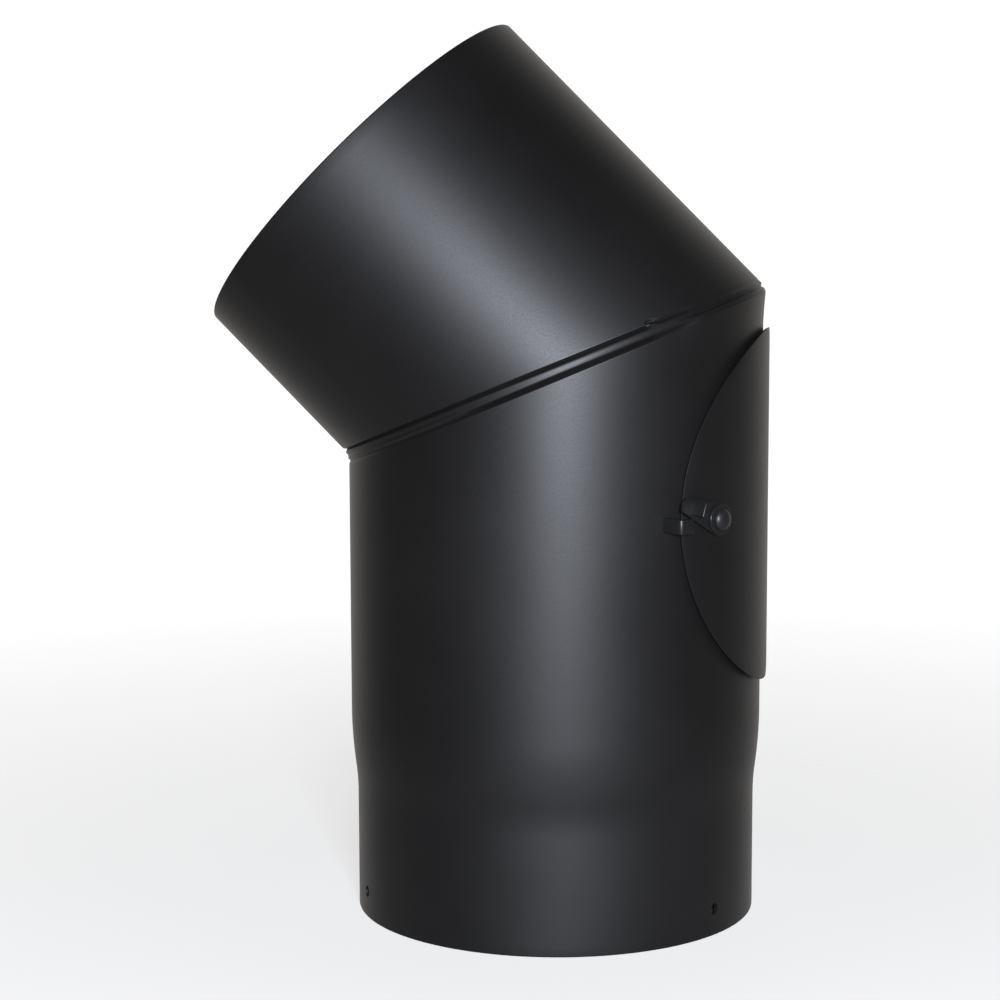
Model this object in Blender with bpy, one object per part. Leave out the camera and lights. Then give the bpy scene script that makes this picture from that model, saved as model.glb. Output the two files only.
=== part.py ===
"""45 degree sheet-steel flue elbow with a round, curved inspection door.

The origin is the centre of the spigot's bottom rim, +Z runs up the lower leg's axis, +X points
to the heel side, where the door is, and the upper leg leans towards -X. Lengths are in metres.
"""
import math

import bmesh
import bpy
from mathutils import Matrix, Vector

# Pipe and bend
BORE_DIAMETER = 0.150
SHEET = 0.0015
BEND_DEGREES = 45.0
LOWER_LEG_LENGTH = 0.201        # spigot rim to mitre centre, along the axis
UPPER_LEG_LENGTH = 0.102        # mitre centre to the socket end's rim, along the axis
SPIGOT_CLEARANCE = 0.0014       # bore of the next pipe to the spigot, across
SPIGOT_LENGTH = 0.043
SWAGE_LENGTH = 0.033
SWAGE_KNEE = 1 / 3              # how far up the swage its slope is steepest
PIPE_SEGMENTS = 72

# Screw holes in the spigot
HOLE_DIAMETER = 0.0042
HOLE_HEIGHT = 0.0098
HOLE_AZIMUTHS = (-150.0, -30.0, 90.0)

# Locked seam at the mitre
GAP = 0.0003                    # left between pieces that touch
NECK_DEPTH = 0.0018
HOOK_OVERLAP = 0.0006
NECK_WIDTH = 0.0008
NECK_SLOPE = 0.0016
BEAD_CHAMFER = 0.0005

# Inspection door
DOOR_HEIGHT = 0.153             # centre of the door, above the spigot's rim
DOOR_RADIUS = 0.0645            # along the door's curved outer face
DOOR_SHEET = 0.0010
DOOR_STAND_OFF = 0.0014         # pipe to the inner face of the door's sheet
DOOR_RIM_CLEARANCE = 0.0010
DOOR_RIM_WIDTH = 0.0015
DOOR_OVERLAP = 0.0085           # door's edge to the opening's edge
LINER_CLEARANCE = 0.0015
LINER_SHEET = 0.0010
LINER_LIP = 0.0015              # how far the liner's rim reaches into the opening
GASKET_WIDTH = 0.0050
GASKET_THICKNESS = 0.0008
DISC_SEGMENTS = 64
DISC_RING = 0.008               # step between the rings that let a disc bend
SHELL_STEP = 5.0                # degrees of round sheet to a facet
CUTTER_REACH = 0.015            # how far a cutter runs past the sheets it cuts

# Hinge, on the far edge of the door
KNUCKLE_RADIUS = 0.0030
PIN_RADIUS = 0.0015
RUNNING_CLEARANCE = 0.00008
KNUCKLE_SIDE_GAP = 0.0011       # door's edge to the knuckle
KNUCKLE_LIFT = 0.0005           # pipe to the knuckle
KNUCKLE_END_INSET = 0.0002      # knuckle's end inside the edge of its leaf
HINGE_LENGTH = 0.040
DOOR_KNUCKLE_LENGTH = 0.0154
LEAF_SHEET = 0.0012
PIPE_LEAF_LENGTH = 0.0174       # round the pipe, from the hinge's axis
STRAP_LENGTH = 0.0303           # round the door, from the hinge's axis
STRAP_ENTRY = 0.0003            # how far short of the axis the strap stops in its knuckle
PIN_HEAD_RADIUS = 0.0025
PIN_HEAD_HEIGHT = 0.0010

# Rivets
RIVET_RADIUS = 0.0015
RIVET_HEAD_RADIUS = 0.0030
RIVET_HEAD_HEIGHT = 0.0016
TAIL_RADIUS = 0.0024
TAIL_HEIGHT = 0.0011
PIPE_RIVET_OFFSET = 0.0130      # above and below the hinge's middle
PIPE_RIVET_ARC = 0.0107         # round the pipe, beyond the hinge's axis
STRAP_RIVET_OFFSET = 0.0043
STRAP_RIVET_ARC = 0.0229        # round the door, on the door's side of the hinge's axis

# Latch, on the near edge of the door
PIVOT_INSET = 0.0158            # door's edge to the pivot, round the door's face
PIVOT_RADIUS = 0.0020
PIVOT_HEAD_RADIUS = 0.0038
PIVOT_HEAD_HEIGHT = 0.0022
PIVOT_TAIL_RADIUS = 0.0031
SPRING_WASHER_RADIUS = 0.0045
SPRING_WASHER_THICKNESS = 0.0005
WASHER_RADIUS = 0.0055
WASHER_THICKNESS = 0.0006
LEVER_THICKNESS = 0.0010
LEVER_OVERHANG = 0.0039         # how far the lever reaches past the door's edge
LEVER_HUB_RADIUS = 0.0060
LEVER_TIP_WIDTH = 0.0050
LEVER_REST_CLEARANCE = 0.0002   # turned up, lever's lower edge to the top of the keeper's lip
TAB_CLEARANCE = 0.0004          # turned down, finger tab to the end of the keeper's lip
TAB_WIDTH = 0.0045
TAB_HEIGHT = 0.0055
KEEPER_SHEET = 0.0012
KEEPER_WIDTH = 0.0050
KEEPER_DROP = 0.0008            # keeper's middle below the pivot
KEEPER_CLEARANCE = 0.0004       # lever to the keeper's lip
KEEPER_END_CLEARANCE = 0.0006   # lever's tip to the keeper's post
KEEPER_LIP = 0.0062
KEEPER_FOOT = 0.0048
KEEPER_RIVET_PLACE = 0.58       # share of the way from the post to the foot's end
KEEPER_RIVET_RADIUS = 0.0008
KEEPER_RIVET_HEAD_RADIUS = 0.0014
KEEPER_RIVET_HEAD_HEIGHT = 0.0009

# Worked out from the values above
INNER_RADIUS = BORE_DIAMETER / 2
PIPE_RADIUS = INNER_RADIUS + SHEET
SPIGOT_RADIUS = (BORE_DIAMETER - SPIGOT_CLEARANCE) / 2
BEND = math.radians(BEND_DEGREES)
MITRE_SLOPE = math.tan(BEND / 2)
MITRE_CENTRE = Vector((0, 0, LOWER_LEG_LENGTH))
UPPER_AXIS = Vector((-math.sin(BEND), 0, math.cos(BEND)))
UPPER_SIDE = Vector((math.cos(BEND), 0, math.sin(BEND)))
DOOR_FACE = PIPE_RADIUS + DOOR_STAND_OFF + DOOR_SHEET
OPENING_RADIUS = DOOR_RADIUS - DOOR_OVERLAP
LINER_RADIUS = OPENING_RADIUS - LINER_CLEARANCE
LINER_INNER_FACE = PIPE_RADIUS + DOOR_STAND_OFF - GAP - LINER_SHEET
HINGE_CENTRE = PIPE_RADIUS + KNUCKLE_LIFT + KNUCKLE_RADIUS
HINGE_AZIMUTH = math.degrees(DOOR_RADIUS / DOOR_FACE
                             + math.asin((KNUCKLE_RADIUS + KNUCKLE_SIDE_GAP) / DOOR_FACE))
PIVOT_AZIMUTH = -math.degrees((DOOR_RADIUS - PIVOT_INSET) / DOOR_FACE)
LEVER_LENGTH = PIVOT_INSET + LEVER_OVERHANG
SPRING_WASHER_BASE = DOOR_FACE + GAP
LEVER_BASE = SPRING_WASHER_BASE + SPRING_WASHER_THICKNESS + GAP
LEVER_TOP = LEVER_BASE + LEVER_THICKNESS
WASHER_BASE = LEVER_TOP + GAP
KEEPER_POST = LEVER_LENGTH + KEEPER_END_CLEARANCE     # pivot to the post's near side
KEEPER_LIP_BASE = LEVER_TOP + KEEPER_CLEARANCE
KEEPER_HEIGHT = DOOR_HEIGHT - KEEPER_DROP
LIP_END = KEEPER_POST + KEEPER_SHEET - KEEPER_LIP     # pivot to the lip's free end
TAB_DISTANCE = LIP_END - TAB_CLEARANCE - LEVER_THICKNESS

for stale in list(bpy.data.objects):
    bpy.data.objects.remove(stale, do_unlink=True)


def new_collection(name):
    """A collection linked to the scene."""
    collection = bpy.data.collections.new(name)
    bpy.context.scene.collection.children.link(collection)
    return collection


PARTS = new_collection("flue_elbow")
CUTTERS = new_collection("cutters")


def material(name, colour, roughness, metallic):
    """A Principled material of one colour."""
    made = bpy.data.materials.new(name)
    made.use_nodes = True
    shader = made.node_tree.nodes["Principled BSDF"]
    shader.inputs["Base Color"].default_value = (*colour, 1)
    shader.inputs["Roughness"].default_value = roughness
    shader.inputs["Metallic"].default_value = metallic
    return made


BLACK = material("stove_black", (0.020, 0.020, 0.022), 0.45, 0.0)
DARK_STEEL = material("dark_steel", (0.060, 0.060, 0.062), 0.38, 0.9)
FIBRE = material("gasket_fibre", (0.30, 0.29, 0.27), 0.95, 0.0)


def add_object(name, mesh, finish, place=None):
    """Links a part made from a mesh, at its place."""
    made = bpy.data.objects.new(name, mesh)
    PARTS.objects.link(made)
    made.data.materials.append(finish)
    if place is not None:
        made.matrix_world = place
    return made


def axis_empty(name, place):
    """An empty on a joint's axis, for the pieces that turn about it."""
    made = bpy.data.objects.new(name, None)
    PARTS.objects.link(made)
    made.matrix_world = place
    return made


def turn_with(pieces, axis):
    """Parents pieces to an axis empty and leaves them where they are."""
    for piece in pieces:
        piece.parent = axis
        piece.matrix_parent_inverse = axis.matrix_world.inverted()


def as_cutter(made):
    """Turns an object into a guide that the model doesn't hold as a part."""
    for holder in list(made.users_collection):
        holder.objects.unlink(made)
    CUTTERS.objects.link(made)
    made.hide_render = True
    made.display_type = "WIRE"
    return made


def finish_mesh(bm, name):
    """Writes a bmesh to a mesh of flat triangles, facing out, with its round faces smooth."""
    bmesh.ops.triangulate(bm, faces=bm.faces)
    bmesh.ops.recalc_face_normals(bm, faces=bm.faces)
    mesh = bpy.data.meshes.new(name)
    bm.to_mesh(mesh)
    bm.free()
    mesh.shade_smooth()
    mesh.set_sharp_from_angle(angle=math.radians(32))
    return mesh


def join(target, tool):
    """Adds an exact Boolean union, and flat triangles for the modifier that follows it."""
    modifier = target.modifiers.new(tool.name, "BOOLEAN")
    modifier.operation = "UNION"
    modifier.solver = "EXACT"
    modifier.object = tool
    target.modifiers.new(f"{tool.name}_flat", "TRIANGULATE")


def cut(target, tool):
    """Cuts a tool out of the target. Cuts that follow each other are worked out in one go."""
    modifier = target.modifiers[-1] if target.modifiers else None
    if modifier is None or modifier.type != "BOOLEAN":
        tools = bpy.data.collections.new(f"{target.name}_cuts")
        CUTTERS.children.link(tools)
        modifier = target.modifiers.new(tools.name, "BOOLEAN")
        modifier.operation = "DIFFERENCE"
        modifier.solver = "EXACT"
        modifier.operand_type = "COLLECTION"
        modifier.collection = tools
    modifier.collection.objects.link(tool)


def spun_mesh(name, profile, segments, mapping):
    """Spins a closed profile of (radius, height) points about Z, then maps each vertex."""
    bm = bmesh.new()
    verts = [bm.verts.new((radius, 0, height)) for radius, height in profile]
    edges = [bm.edges.new((verts[i - 1], verts[i])) for i in range(len(verts))]
    bmesh.ops.spin(bm, geom=verts + edges, cent=(0, 0, 0), axis=(0, 0, 1), angle=math.tau,
                   steps=segments, use_merge=True, use_duplicate=False)
    for vert in bm.verts:
        vert.co = mapping(vert.co)
    return finish_mesh(bm, name)


def turned_mesh(name, profile, segments, mapping=None):
    """A solid turned about Z from a profile that starts and ends on the axis."""
    bm = bmesh.new()
    verts = [bm.verts.new((radius, 0, height)) for radius, height in profile]
    edges = [bm.edges.new((verts[i], verts[i + 1])) for i in range(len(verts) - 1)]
    bmesh.ops.spin(bm, geom=verts + edges, cent=(0, 0, 0), axis=(0, 0, 1), angle=math.tau,
                   steps=segments, use_merge=True, use_duplicate=False)
    bmesh.ops.remove_doubles(bm, verts=bm.verts, dist=1e-6)
    if mapping is not None:
        for vert in bm.verts:
            vert.co = mapping(vert.co)
    return finish_mesh(bm, name)


def cylinder_mesh(name, radius, start, end, segments):
    """A cylinder along Z from start to end, turned by half a facet."""
    bm = bmesh.new()
    middle = (Matrix.Translation((0, 0, (start + end) / 2))
              @ Matrix.Rotation(math.pi / segments, 4, "Z"))
    bmesh.ops.create_cone(bm, cap_ends=True, cap_tris=False, segments=segments, radius1=radius,
                          radius2=radius, depth=end - start, matrix=middle)
    return finish_mesh(bm, name)


def ring_mesh(name, inner, outer, start, end, segments=24):
    """A flat ring along Z."""
    profile = [(inner, start), (outer, start), (outer, end), (inner, end)]
    return spun_mesh(name, profile, segments, lambda point: point)


def box_mesh(name, low, high):
    """A box between two corners."""
    bm = bmesh.new()
    size = [b - a for a, b in zip(low, high)]
    centre = [(a + b) / 2 for a, b in zip(low, high)]
    place = Matrix.Translation(centre) @ Matrix.Diagonal((*size, 1))
    bmesh.ops.create_cube(bm, size=1, matrix=place)
    return finish_mesh(bm, name)


def radial_place(azimuth, height, distance=0.0):
    """Local +Z points out along the radius, local +X runs round the pipe, local +Y is up."""
    angle = math.radians(azimuth)
    out = Vector((math.cos(angle), math.sin(angle), 0))
    around = Vector((-math.sin(angle), math.cos(angle), 0))
    up = Vector((0, 0, 1))
    turn = Matrix((around, up, out)).transposed().to_4x4()
    return Matrix.Translation(out * distance + up * height) @ turn


def shell_mesh(name, inner, outer, start, end, low, high):
    """A piece of round sheet: azimuths start to end in degrees, heights low to high."""
    columns = max(1, round((end - start) / SHELL_STEP))
    step = (end - start) / columns
    bm = bmesh.new()
    profile = [(inner, low), (outer, low), (outer, high), (inner, high)]
    verts = [bm.verts.new((radius, 0, height)) for radius, height in profile]
    face = bm.faces.new(verts)
    bmesh.ops.rotate(bm, verts=verts, cent=(0, 0, 0),
                     matrix=Matrix.Rotation(math.radians(start), 3, "Z"))
    near_end = face.copy()
    bmesh.ops.spin(bm, geom=[near_end, *near_end.verts, *near_end.edges], cent=(0, 0, 0),
                   axis=(0, 0, 1), angle=math.radians(step * columns), steps=columns,
                   use_merge=False, use_duplicate=False)
    bmesh.ops.remove_doubles(bm, verts=bm.verts, dist=1e-6)
    return finish_mesh(bm, name)


def round_the_pipe(point):
    """Bends a disc that lies flat: x runs round the door's face, z stands off the pipe."""
    angle, distance = point.x / DOOR_FACE, PIPE_RADIUS + point.z
    return Vector((distance * math.cos(angle), distance * math.sin(angle),
                   point.y + DOOR_HEIGHT))


def bent_disc(name, low, high, rim=None):
    """A disc bent round the pipe. low and high are (radius, stand-off) of its two faces, and rim
    holds the points between them. Rings across each face let it follow the curve."""
    rings = [DISC_RING * step for step in range(1, math.ceil(low[0] / DISC_RING))]
    profile = [(0, low[1]), *((ring, low[1]) for ring in rings), low, *(rim or []), high,
               *((ring, high[1]) for ring in rings[::-1]), (0, high[1])]
    return turned_mesh(name, profile, DISC_SEGMENTS, round_the_pipe)


# ---------------------------------------------------------------------------- the two legs

def mitre_point(radius, angle, offset):
    """A point near the mitre: offset runs along the upper axis above it, down Z below it."""
    on_plane = Vector((radius * math.cos(angle), radius * math.sin(angle),
                       LOWER_LEG_LENGTH + radius * math.cos(angle) * MITRE_SLOPE))
    if offset >= 0:
        return on_plane + UPPER_AXIS * offset
    return on_plane + Vector((0, 0, offset))


def lower_leg_place(point):
    """Profile heights are from the mitre, and below the door's top they are flat rings."""
    radius, angle = math.hypot(point.x, point.y), math.atan2(point.y, point.x)
    if point.z > -LOWER_LEG_LENGTH / 2:
        return mitre_point(radius, angle, point.z)
    return Vector((point.x, point.y, LOWER_LEG_LENGTH + point.z))


def upper_leg_place(point):
    """Profile heights are from the mitre, and at the rim they are a flat ring."""
    radius, angle = math.hypot(point.x, point.y), math.atan2(point.y, point.x)
    if point.z < UPPER_LEG_LENGTH / 2:
        return mitre_point(radius, angle, point.z)
    across = Vector((0, point.y, 0))
    return MITRE_CENTRE + UPPER_SIDE * point.x + across + UPPER_AXIS * point.z


NECK_OUT = PIPE_RADIUS - NECK_DEPTH
NECK_IN = NECK_OUT - SHEET
LIP_IN = NECK_OUT + GAP
FLANGE_TIP = LIP_IN + HOOK_OVERLAP
CREST_IN = FLANGE_TIP + GAP
CREST_OUT = CREST_IN + SHEET
BEAD_HALF = (3 * SHEET + 2 * GAP) / 2
NECK_END = BEAD_HALF + NECK_WIDTH
SLOPE_END = NECK_END + NECK_SLOPE


def swage(step, steps):
    """The taper between spigot and pipe: (radius added to the spigot's, height)."""
    share = step / steps
    if share < SWAGE_KNEE:
        rise = share ** 2 / SWAGE_KNEE
    else:
        rise = 1 - (1 - share) ** 2 / (1 - SWAGE_KNEE)
    return (PIPE_RADIUS - SPIGOT_RADIUS) * rise, SPIGOT_LENGTH + SWAGE_LENGTH * share


def make_lower_leg():
    """Spigot, swage, straight pipe, and the flange that the upper leg's bead hooks over."""
    steps = 6
    taper = [swage(step, steps) for step in range(steps + 1)]
    bottom = -LOWER_LEG_LENGTH
    outside = [(SPIGOT_RADIUS, bottom)]
    outside += [(SPIGOT_RADIUS + rise, bottom + height) for rise, height in taper]
    outside += [(PIPE_RADIUS, -SLOPE_END), (NECK_OUT, -NECK_END), (NECK_OUT, -SHEET / 2),
                (FLANGE_TIP, -SHEET / 2), (FLANGE_TIP, SHEET / 2)]
    inside = [(NECK_IN, SHEET / 2), (NECK_IN, -NECK_END), (INNER_RADIUS, -SLOPE_END)]
    inside += [(SPIGOT_RADIUS - SHEET + rise, bottom + height) for rise, height in taper[::-1]]
    inside += [(SPIGOT_RADIUS - SHEET, bottom)]
    mesh = spun_mesh("lower_leg", outside + inside, PIPE_SEGMENTS, lower_leg_place)
    leg = add_object("lower_leg", mesh, BLACK)
    opening = bent_disc("door_opening", (OPENING_RADIUS, -CUTTER_REACH),
                        (OPENING_RADIUS, CUTTER_REACH))
    cut(leg, as_cutter(add_object("door_opening", opening, BLACK)))
    for number, azimuth in enumerate(HOLE_AZIMUTHS):
        hole = cylinder_mesh(f"screw_hole_{number}", HOLE_DIAMETER / 2,
                             INNER_RADIUS - CUTTER_REACH, PIPE_RADIUS + CUTTER_REACH, 16)
        cut(leg, as_cutter(add_object(hole.name, hole, BLACK,
                                          radial_place(azimuth, HOLE_HEIGHT))))
    return leg


def make_upper_leg():
    """Socket end, straight pipe, and the rolled bead that closes over the lower leg's flange."""
    profile = [(PIPE_RADIUS, UPPER_LEG_LENGTH), (PIPE_RADIUS, SLOPE_END), (NECK_OUT, NECK_END),
               (NECK_OUT, BEAD_HALF), (CREST_OUT - BEAD_CHAMFER, BEAD_HALF),
               (CREST_OUT, BEAD_HALF - BEAD_CHAMFER), (CREST_OUT, BEAD_CHAMFER - BEAD_HALF),
               (CREST_OUT - BEAD_CHAMFER, -BEAD_HALF), (LIP_IN, -BEAD_HALF),
               (LIP_IN, SHEET - BEAD_HALF), (CREST_IN, SHEET - BEAD_HALF),
               (CREST_IN, BEAD_HALF - SHEET), (NECK_IN, BEAD_HALF - SHEET), (NECK_IN, NECK_END),
               (INNER_RADIUS, SLOPE_END), (INNER_RADIUS, UPPER_LEG_LENGTH)]
    mesh = spun_mesh("upper_leg", profile, PIPE_SEGMENTS, upper_leg_place)
    return add_object("upper_leg", mesh, BLACK)


# -------------------------------------------------------------------------------- rivets

def rivet_hole(target, name, azimuth, height, radius, reach=DOOR_FACE + CUTTER_REACH):
    """A hole through a sheet, with a gap round the rivet."""
    mesh = cylinder_mesh(name, radius + GAP, INNER_RADIUS - CUTTER_REACH, reach, 20)
    cutter = as_cutter(add_object(name, mesh, BLACK, radial_place(azimuth, height)))
    for sheet in target:
        cut(sheet, cutter)


def make_rivet(name, azimuth, height, under, over, sizes, finish, segments=16):
    """A domed rivet: under and over are the inner and outer faces of what it holds."""
    shank, head, head_height, tail, tail_height = sizes
    base = over + GAP
    dome = [(head * math.cos(math.radians(a)), base + head_height * math.sin(math.radians(a)))
            for a in (0, 30, 60)]
    foot = under - GAP
    profile = [(0, foot - tail_height), (tail, foot - tail_height), (tail, foot), (shank, foot),
               (shank, base), *dome, (0, base + head_height)]
    mesh = turned_mesh(name, profile, segments)
    return add_object(name, mesh, finish, radial_place(azimuth, height))


HINGE_RIVET = (RIVET_RADIUS, RIVET_HEAD_RADIUS, RIVET_HEAD_HEIGHT, TAIL_RADIUS, TAIL_HEIGHT)
PIVOT_RIVET = (PIVOT_RADIUS, PIVOT_HEAD_RADIUS, PIVOT_HEAD_HEIGHT, PIVOT_TAIL_RADIUS,
               TAIL_HEIGHT)
KEEPER_RIVET = (KEEPER_RIVET_RADIUS, KEEPER_RIVET_HEAD_RADIUS, KEEPER_RIVET_HEAD_HEIGHT,
                KEEPER_RIVET_HEAD_RADIUS, KEEPER_RIVET_HEAD_HEIGHT)


# ---------------------------------------------------------------------------------- door

def make_door():
    """The curved plate with its turned rim, the liner pan behind it and the gasket ring."""
    face = DOOR_STAND_OFF + DOOR_SHEET
    inside_rim = DOOR_RADIUS - DOOR_RIM_WIDTH
    plate = bent_disc("door_plate", (inside_rim, DOOR_STAND_OFF), (DOOR_RADIUS, face),
                      [(inside_rim, DOOR_RIM_CLEARANCE), (DOOR_RADIUS, DOOR_RIM_CLEARANCE)])
    plate = add_object("door_plate", plate, BLACK)

    liner_face = DOOR_STAND_OFF - GAP
    inside_lip = LINER_RADIUS - LINER_SHEET
    liner = bent_disc("door_liner", (inside_lip, liner_face - LINER_SHEET),
                      (LINER_RADIUS, liner_face),
                      [(inside_lip, -LINER_LIP), (LINER_RADIUS, -LINER_LIP)])
    liner = add_object("door_liner", liner, DARK_STEEL)

    inner, base, top = OPENING_RADIUS + 2 * GAP, GAP, GAP + GASKET_THICKNESS
    ring = [(inner, base), (inner + GASKET_WIDTH, base), (inner + GASKET_WIDTH, top),
            (inner, top)]
    gasket = spun_mesh("door_gasket", ring, DISC_SEGMENTS, round_the_pipe)
    return plate, liner, add_object("door_gasket", gasket, FIBRE)


# --------------------------------------------------------------------------------- hinge

def knuckle(name, low, high):
    """A barrel of the hinge about its axis, to be joined to a leaf."""
    place = radial_place(HINGE_AZIMUTH, 0, HINGE_CENTRE)
    axis = Matrix.Translation(place.translation)
    mesh = cylinder_mesh(name, KNUCKLE_RADIUS, low, high, 28)
    return as_cutter(add_object(name, mesh, BLACK, axis))


def make_hinge(lower_leg, plate, liner):
    """Two leaves, a pin through their knuckles, and two rivets in each leaf."""
    middle = DOOR_HEIGHT
    half, door_half = HINGE_LENGTH / 2, DOOR_KNUCKLE_LENGTH / 2
    axis = Matrix.Translation(radial_place(HINGE_AZIMUTH, 0, HINGE_CENTRE).translation)
    turning = []
    reach = half + PIN_HEAD_HEIGHT + GAP
    bore = cylinder_mesh("hinge_bore", PIN_RADIUS + RUNNING_CLEARANCE, middle - 2 * half,
                         middle + 2 * half, 20)
    bore = as_cutter(add_object("hinge_bore", bore, BLACK, axis))

    leaf_base = PIPE_RADIUS + GAP
    leaf_end = HINGE_AZIMUTH + math.degrees(PIPE_LEAF_LENGTH / PIPE_RADIUS)
    leaf = shell_mesh("hinge_pipe_leaf", leaf_base, leaf_base + LEAF_SHEET, HINGE_AZIMUTH,
                      leaf_end, middle - half, middle + half)
    pipe_leaf = add_object("hinge_pipe_leaf", leaf, BLACK)
    window_reach = KNUCKLE_RADIUS + 2 * GAP
    window = box_mesh("knuckle_window", (-window_reach, -door_half - GAP, -window_reach),
                      (window_reach, door_half + GAP, window_reach))
    window = as_cutter(add_object("knuckle_window", window, BLACK,
                                  radial_place(HINGE_AZIMUTH, middle, HINGE_CENTRE)))
    cut(pipe_leaf, window)
    near, far = door_half + GAP + KNUCKLE_END_INSET, half - KNUCKLE_END_INSET
    join(pipe_leaf, knuckle("upper_knuckle", middle + near, middle + far))
    join(pipe_leaf, knuckle("lower_knuckle", middle - far, middle - near))
    cut(pipe_leaf, bore)

    strap_base = DOOR_FACE + GAP
    strap_start = HINGE_AZIMUTH - math.degrees(STRAP_LENGTH / DOOR_FACE)
    strap_end = HINGE_AZIMUTH - math.degrees(STRAP_ENTRY / DOOR_FACE)
    strap = shell_mesh("hinge_door_leaf", strap_base, strap_base + LEAF_SHEET, strap_start,
                       strap_end, middle - door_half, middle + door_half)
    door_leaf = add_object("hinge_door_leaf", strap, BLACK)
    far = door_half - KNUCKLE_END_INSET
    join(door_leaf, knuckle("door_knuckle", middle - far, middle + far))
    cut(door_leaf, bore)

    profile = [(0, middle - reach), (PIN_RADIUS, middle - reach), (PIN_RADIUS, middle + half + GAP),
               (PIN_HEAD_RADIUS, middle + half + GAP), (PIN_HEAD_RADIUS, middle + reach),
               (0, middle + reach)]
    add_object("hinge_pin", turned_mesh("hinge_pin", profile, 20), DARK_STEEL, axis)

    turning.append(door_leaf)
    pipe_azimuth = HINGE_AZIMUTH + math.degrees(PIPE_RIVET_ARC / PIPE_RADIUS)
    strap_azimuth = HINGE_AZIMUTH - math.degrees(STRAP_RIVET_ARC / DOOR_FACE)
    for label, sign in (("upper", 1), ("lower", -1)):
        azimuth, height = pipe_azimuth, middle + sign * PIPE_RIVET_OFFSET
        rivet_hole((lower_leg, pipe_leaf), f"pipe_rivet_hole_{label}", azimuth, height,
                   RIVET_RADIUS)
        make_rivet(f"hinge_rivet_pipe_{label}", azimuth, height, INNER_RADIUS,
                   leaf_base + LEAF_SHEET, HINGE_RIVET, BLACK)
        azimuth, height = strap_azimuth, middle + sign * STRAP_RIVET_OFFSET
        rivet_hole((plate, liner, door_leaf), f"door_rivet_hole_{label}", azimuth, height,
                   RIVET_RADIUS)
        turning.append(make_rivet(f"hinge_rivet_door_{label}", azimuth, height,
                                  LINER_INNER_FACE, strap_base + LEAF_SHEET, HINGE_RIVET, BLACK))
    return axis_empty("door_hinge_axis", axis @ Matrix.Translation((0, 0, middle))), turning


# --------------------------------------------------------------------------------- latch

def plate_mesh(name, points, thickness):
    """A flat plate from its outline, centred on its own plane."""
    curve = bpy.data.curves.new(name, "CURVE")
    curve.dimensions = "2D"
    curve.fill_mode = "BOTH"
    curve.extrude = thickness / 2
    spline = curve.splines.new("POLY")
    spline.points.add(len(points) - 1)
    for point, (x, y) in zip(spline.points, points):
        point.co = (x, y, 0, 1)
    spline.use_cyclic_u = True
    outline = bpy.data.objects.new(name, curve)
    CUTTERS.objects.link(outline)
    flat = bpy.data.meshes.new_from_object(
        outline.evaluated_get(bpy.context.evaluated_depsgraph_get()))
    bpy.data.objects.remove(outline, do_unlink=True)
    bm = bmesh.new()
    bm.from_mesh(flat)
    bmesh.ops.remove_doubles(bm, verts=bm.verts, dist=1e-6)
    return finish_mesh(bm, name)


def make_lever():
    """A flat pear-shaped lever with an upturned finger tab, turned up from the keeper."""
    half_tip, corner = LEVER_TIP_WIDTH / 2, LEVER_TIP_WIDTH / 4
    spread = math.asin((LEVER_HUB_RADIUS - half_tip) / LEVER_LENGTH)
    # turned up until its lower edge, a tangent to the hub, passes over the end of the lip
    lip_top = KEEPER_WIDTH / 2 - KEEPER_DROP + LEVER_REST_CLEARANCE
    edge_angle = math.atan2(lip_top, LIP_END) + math.asin(LEVER_HUB_RADIUS
                                                          / math.hypot(lip_top, LIP_END))
    rest_angle = edge_angle - spread
    steps = 12
    hub = [math.pi / 2 - spread - step * (math.pi - 2 * spread) / steps
           for step in range(steps + 1)]
    points = [(LEVER_HUB_RADIUS * math.cos(a), LEVER_HUB_RADIUS * math.sin(a)) for a in hub]
    points += [(corner - LEVER_LENGTH, -half_tip), (-LEVER_LENGTH, corner - half_tip),
               (-LEVER_LENGTH, half_tip - corner), (corner - LEVER_LENGTH, half_tip)]
    place = (radial_place(PIVOT_AZIMUTH, DOOR_HEIGHT, LEVER_BASE + LEVER_THICKNESS / 2)
             @ Matrix.Rotation(-rest_angle, 4, "Z"))
    mesh = plate_mesh("latch_lever", points, LEVER_THICKNESS)
    lever = add_object("latch_lever", mesh, BLACK, place)
    tab = box_mesh("finger_tab", (-TAB_DISTANCE - LEVER_THICKNESS, -TAB_WIDTH / 2, 0),
                   (-TAB_DISTANCE, TAB_WIDTH / 2, LEVER_THICKNESS / 2 + TAB_HEIGHT))
    join(lever, as_cutter(add_object("finger_tab", tab, BLACK, place)))
    hole = cylinder_mesh("lever_hole", PIVOT_RADIUS + RUNNING_CLEARANCE, -LEVER_THICKNESS,
                         LEVER_THICKNESS, 24)
    cut(lever, as_cutter(add_object("lever_hole", hole, BLACK, place)))
    return lever


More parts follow.
